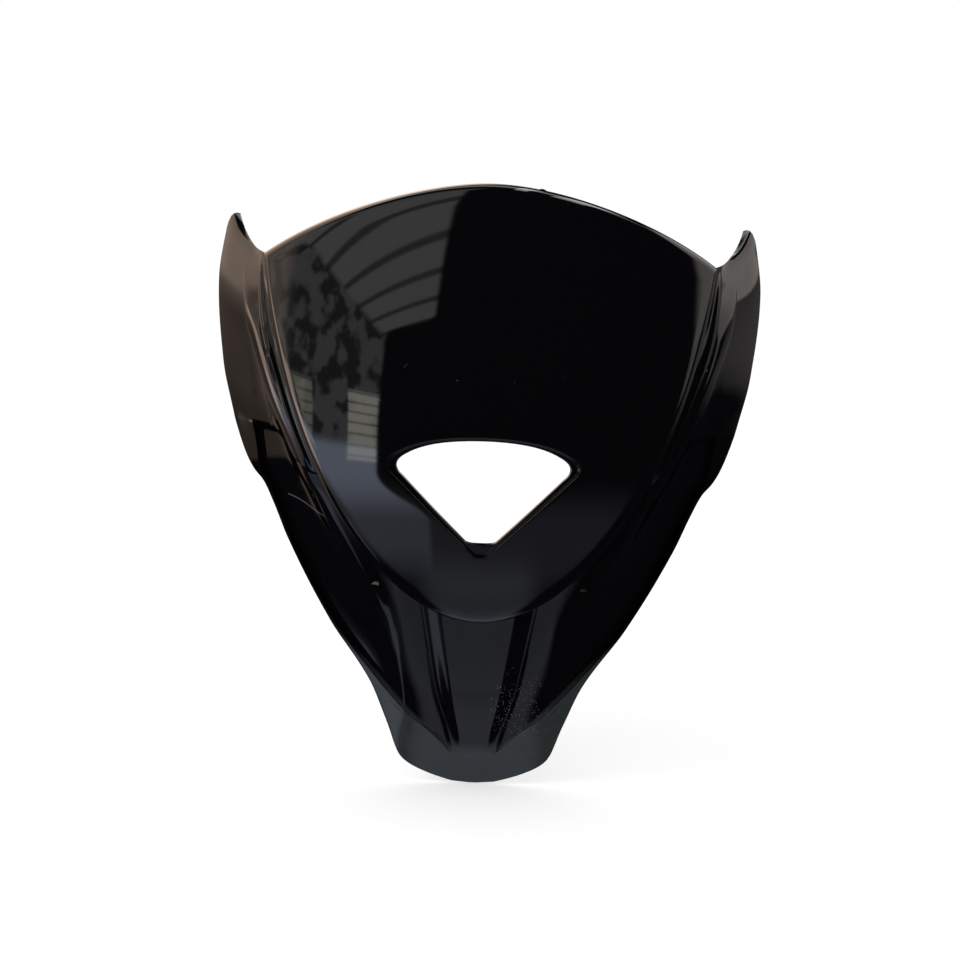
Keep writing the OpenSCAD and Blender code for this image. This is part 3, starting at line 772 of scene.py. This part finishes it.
def mirrored(spot, side):
    """The spot on the right, or its mirror image on the left for side -1."""
    return [v * [side, 1, 1] for v in spot]


def moulded(name, spot, d, end, rings):
    """A post with its rib, moulded on the back of the shell."""
    for part, (points, faces) in (("", turned(spot, rings)), ("_rib", gusset(spot, d, end))):
        piece = solid(name + part, points * MM, faces, plastic, np.ones(len(points)))
        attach(piece, "root")


for side, hand in ((1, "right"), (-1, "left")):
    bosses = (("upper", UPPER_BOSS, (0.2, 0.5)), ("lower", LOWER_BOSS, (0.6, 0.4)))
    for height, (x, end, z), guess in bosses:
        r, pilot = BOSS_D / 2, PILOT_D / 2
        rings = [[r, 0], [r, end - CHAMFER], [r - 0.4 * CHAMFER, end - 0.15 * CHAMFER], [r - CHAMFER, end],
                 [pilot + 0.4, end], [pilot, end - 0.4], [pilot, end - PILOT_DEPTH]]
        spot = mirrored(side_spot(x, z, *guess), side)
        moulded(f"{height}_boss_{hand}", spot, BOSS_D, end, rings)
    x, end, z = PEG
    shoulder, r, stem = end - PEG_LENGTH, PEG_D / 2, STEM_D / 2
    rings = [[stem, 0], [stem, shoulder - CHAMFER], [stem - CHAMFER, shoulder], [r + 0.3, shoulder],
             [r, shoulder + 0.3], [r, end - 2 * CHAMFER], [r - 0.4 * CHAMFER, end - 0.6 * CHAMFER],
             [r - 1.4 * CHAMFER, end]]
    moulded(f"peg_{hand}", mirrored(face_spot(x, z), side), STEM_D, shoulder, rings)


# Clip tab.
# A small lug with a rounded top, moulded on the flange behind the top edge, where a strip of
# trim hooks on.

TAB_X = 28.5
TAB_W = 9.0
TAB_RISE = 1.1
TAB_THICK = TOP_FLANGE / 2
TAB_ROUND = 0.4

# The lug is a disc cut off one wall below the edge, and its rim is rounded by rings that are a
# little smaller towards both faces
shares = np.linspace(-1, 0, 400)
edge = outline(shares)
top = np.array([TAB_X, np.interp(TAB_X, edge[:, 0], edge[:, 1])])
tab_front = face_depth(top) + TOP_ROUNDING + TOP_FLANGE - TAB_THICK
radius = TAB_W / 2
cut = np.arcsin((radius - TAB_RISE - WALL) / radius)
turn = np.linspace(cut, np.pi - cut, 33)
quarter = np.linspace(0, np.pi / 2, 5)
shrink = TAB_ROUND * np.concatenate([1 - np.sin(quarter), 1 - np.cos(quarter)])[:, None]
depth = TAB_ROUND * np.concatenate([1 - np.cos(quarter), np.sin(quarter) - 1])[:, None]
depth[len(quarter):] += TAB_THICK
lug = np.stack([top[0] + (radius - shrink) * np.cos(turn), tab_front + depth + 0 * turn,
                top[1] + TAB_RISE - radius + (radius - shrink) * np.sin(turn)], -1)
count = len(turn)
ring, j = np.meshgrid(np.arange(len(depth) - 1), np.arange(count), indexing="ij")
a, b = ring * count + j, ring * count + (j + 1) % count
lug_faces = np.stack([a, b, b + count, a + count], -1).reshape(-1, 4).tolist()
last = (len(depth) - 1) * count
lug_faces += [list(range(count))[::-1], list(range(last, last + count))]
tab = solid("clip_tab", lug.reshape(-1, 3) * MM, lug_faces, plastic, np.zeros(lug[..., 0].size))
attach(tab, "root")


# Floor.
# A plain pale studio floor under the chin. The mirror-like plastic sees the room instead of it.

FLOOR = cad_box[0][2] - 0.0005
FLOOR_HALF = 12.0
FLOOR_GREY = (0.8, 0.8, 0.8, 1.0)
FLOOR_GLOW = 0.45

paper = bpy.data.materials.new("pale_floor")
paper.use_nodes = True
tree = paper.node_tree
tree.nodes.clear()
w = Wire(tree, None)
matt = w.add("ShaderNodeBsdfDiffuse", {}, Color=FLOOR_GREY)
shine = w.add("ShaderNodeEmission", {}, Color=(1.0, 1.0, 1.0, 1.0), Strength=FLOOR_GLOW)
camera_ray = w.add("ShaderNodeLightPath", {}, out="Is Camera Ray")
lit = w.add("ShaderNodeMixShader", {}, camera_ray, None, shine)
tree.links.new(w.add("ShaderNodeAddShader", {}, matt, lit).socket,
               tree.nodes.new("ShaderNodeOutputMaterial").inputs["Surface"])

floor_mesh = bpy.data.meshes.new("floor")
corners = [(-1, -1), (1, -1), (1, 1), (-1, 1)]
floor_mesh.from_pydata([(a * FLOOR_HALF, b * FLOOR_HALF, FLOOR) for a, b in corners], [], [(0, 1, 2, 3)])
floor_mesh.materials.append(paper)
floor = bpy.data.objects.new("floor", floor_mesh)
floor.visible_glossy = False
bpy.context.scene.collection.objects.link(floor)


# Room.
# White for the camera and an even soft light for matt surfaces. Mirror-like surfaces see a dark
# room with a large window at the front left, pale walls beside and behind, and a grey ground.

WHITE = (1.0, 1.0, 1.0)
MATT_LIGHT = (0.72, 0.72, 0.72)
DARK_ROOM = (0.01, 0.01, 0.016)
ROOF_LIGHT = 0.85
DOOR_LIGHT = 2.2
PAVEMENT_LIGHT = 1.5
LEAF_LIGHT = 3.0
GROUND_LIGHT = 0.5
LAMP_LIGHT = 3.0
SKYLIGHT = 1.6

world = bpy.data.worlds.new("room")
bpy.context.scene.world = world
world.use_nodes = True
tree = world.node_tree
tree.nodes.clear()
w = Wire(tree, None)
ray = w.add("ShaderNodeLightPath", {}, out="Is Camera Ray")
glossy = Wire(tree, ray.socket.node.outputs["Is Glossy Ray"])
direction = w.add("ShaderNodeTexCoord", {}, out="Generated")
way = w.add("ShaderNodeSeparateXYZ", {}, direction)
x, y, z = (Wire(tree, way.socket.node.outputs[k]) for k in ("X", "Y", "Z"))

# The window's edge slants: it is nearer to the middle high up and low down
slant = 0.66 - 0.34 * z.ramp(0.4, 0.52) - 0.36 * z.ramp(-0.12, -0.4)
pane = (y * slant - x).ramp(-0.01, 0.02) * y.ramp(0.05, -0.2)
# Through it a roof with dark beams ends at a rail, two bright doors stand in a dim house front,
# and the pavement is brightest close to them
beams = w.maths("SINE", (y - 0.3 * x) / w.maths("MAXIMUM", z, 0.2) * 23.3 + 4.6).ramp(0.6, 0.95)
under = (x + 1.3 * z).ramp(-0.03, 0.03)
roof = under * (ROOF_LIGHT - 0.6 * beams)
clutter = w.add("ShaderNodeTexNoise", {}, Vector=direction, Scale=11.0, Detail=3.0, out="Fac")
house = (1 - under) * z.ramp(-0.03, 0.0) * (0.12 + 0.45 * clutter.ramp(0.44, 0.56))
planks = 1 - 0.7 * w.maths("SINE", z * 160.0).ramp(0.6, 0.95)
doors = (x + 0.61).distance().ramp(0.08, 0.07) + (x + 0.86).distance().ramp(0.04, 0.03) * 0.6
doors = doors * planks * z.ramp(0.18, 0.165) * z.ramp(-0.09, -0.08) * DOOR_LIGHT
pavement = z.ramp(0.0, -0.05) * (0.4 * z.ramp(-0.75, -0.5) + PAVEMENT_LIGHT * z.ramp(-0.42, -0.12))
# The walls on both sides are paler high up, and brightest where the leaf panels see them
left_wall = (y - 1.5 * x).ramp(0.9, 1.1) * (
    0.28 * z.ramp(-0.46, -0.4) + z.ramp(-0.05, 0.28) * (0.5 + 0.85 * y.ramp(0.05, 0.2))
    + LEAF_LIGHT * (y - 0.15 * z.ramp(0.05, 0.14)).ramp(0.1, -0.05) * z.ramp(-0.35, -0.2)
    * (z - 0.15 * y).ramp(0.22, 0.18))
right_wall = (y + 2.0 * x).ramp(1.45, 1.56) * (
    0.25 * y.ramp(0.0, 0.2) * z.ramp(-0.3, -0.1) + 1.1 * z.ramp(0.22, 0.27)
    + 0.85 * y.ramp(-0.15, -0.25) * z.ramp(0.0, 0.08) * z.ramp(0.27, 0.22))
# The ground in front is grey, and paler at the left
ground = z.ramp(-0.45, -1.0) * x.distance().ramp(0.32, 0.18) * GROUND_LIGHT
ground = ground + y.ramp(-0.55, -0.7) * z.ramp(-0.1, -0.4) * 0.2
ground = ground + (x + 0.72).distance().ramp(0.1, 0.06) * (y + 0.22).distance().ramp(0.14, 0.08) \
    * z.ramp(-0.4, -0.5) * 0.4
# Two lamps overhead and a skylight behind them, which only the top edges see
streaks = (x - 0.12).distance().ramp(0.03, 0.02) + (x - 0.3).distance().ramp(0.07, 0.05)
streaks = streaks * z.ramp(0.6, 0.7) * y.ramp(0.0, 0.1) * LAMP_LIGHT
streaks = streaks + y.ramp(0.36, 0.42) * z.ramp(0.72, 0.8) * SKYLIGHT
seen = DARK_ROOM
for colour, strength in (
        ((1.0, 1.0, 0.98), pane * (roof + house)), ((1.0, 0.96, 0.82), pane * doors),
        ((0.84, 0.94, 1.2), pane * pavement), ((1.1, 0.82, 0.64), left_wall),
        ((1.0, 0.93, 0.87), right_wall), ((0.88, 0.92, 1.1), ground), (WHITE, streaks)):
    part = w.add("ShaderNodeVectorMath", {"operation": "SCALE"}, colour, Scale=strength)
    seen = w.add("ShaderNodeVectorMath", {"operation": "ADD"}, seen, part)
shown = ray.colour(glossy.colour(MATT_LIGHT, seen), WHITE)
background = w.add("ShaderNodeBackground", {}, Color=shown, Strength=1.0)
tree.links.new(background.socket, tree.nodes.new("ShaderNodeOutputWorld").inputs["Surface"])


# Lamp.
# One large softbox above the left shoulder gives matt surfaces their shape and the floor its
# shadow. It isn't reflected, because the window of the room is.

SOFTBOX_PLACE = Vector((-1.4, -1.3, 1.6))
SOFTBOX_SIZE = 1.2
SOFTBOX_WATTS = 14.0

lamp = bpy.data.lights.new("softbox", "AREA")
lamp.size = SOFTBOX_SIZE
lamp.energy = SOFTBOX_WATTS
softbox = bpy.data.objects.new("softbox", lamp)
softbox.location = SOFTBOX_PLACE
softbox.rotation_euler = (-SOFTBOX_PLACE).to_track_quat("-Z", "Y").to_euler()
softbox.visible_glossy = False
bpy.context.scene.collection.objects.link(softbox)


# Camera.
# At the photograph's place: in front, a little above the shield, and turned clockwise by two
# degrees about its line of sight.

PICTURE = 960
DISTANCE = 1.3
METRES_A_PIXEL = 0.00057
ELEVATION = math.radians(8.0)
ROLL = math.radians(2.0)

view = bpy.data.cameras.new("camera")
view.sensor_width = 36.0
view.lens = view.sensor_width * DISTANCE / (METRES_A_PIXEL * PICTURE)
view.shift_x = -3.0 / PICTURE
camera = bpy.data.objects.new("camera", view)
tilt = Matrix.Rotation(math.pi / 2 - ELEVATION, 4, "X")
camera.matrix_world = tilt @ Matrix.Translation((0, 0, DISTANCE)) @ Matrix.Rotation(ROLL, 4, "Z")
bpy.context.scene.collection.objects.link(camera)
bpy.context.scene.camera = camera
bpy.context.scene.view_settings.view_transform = "Standard"
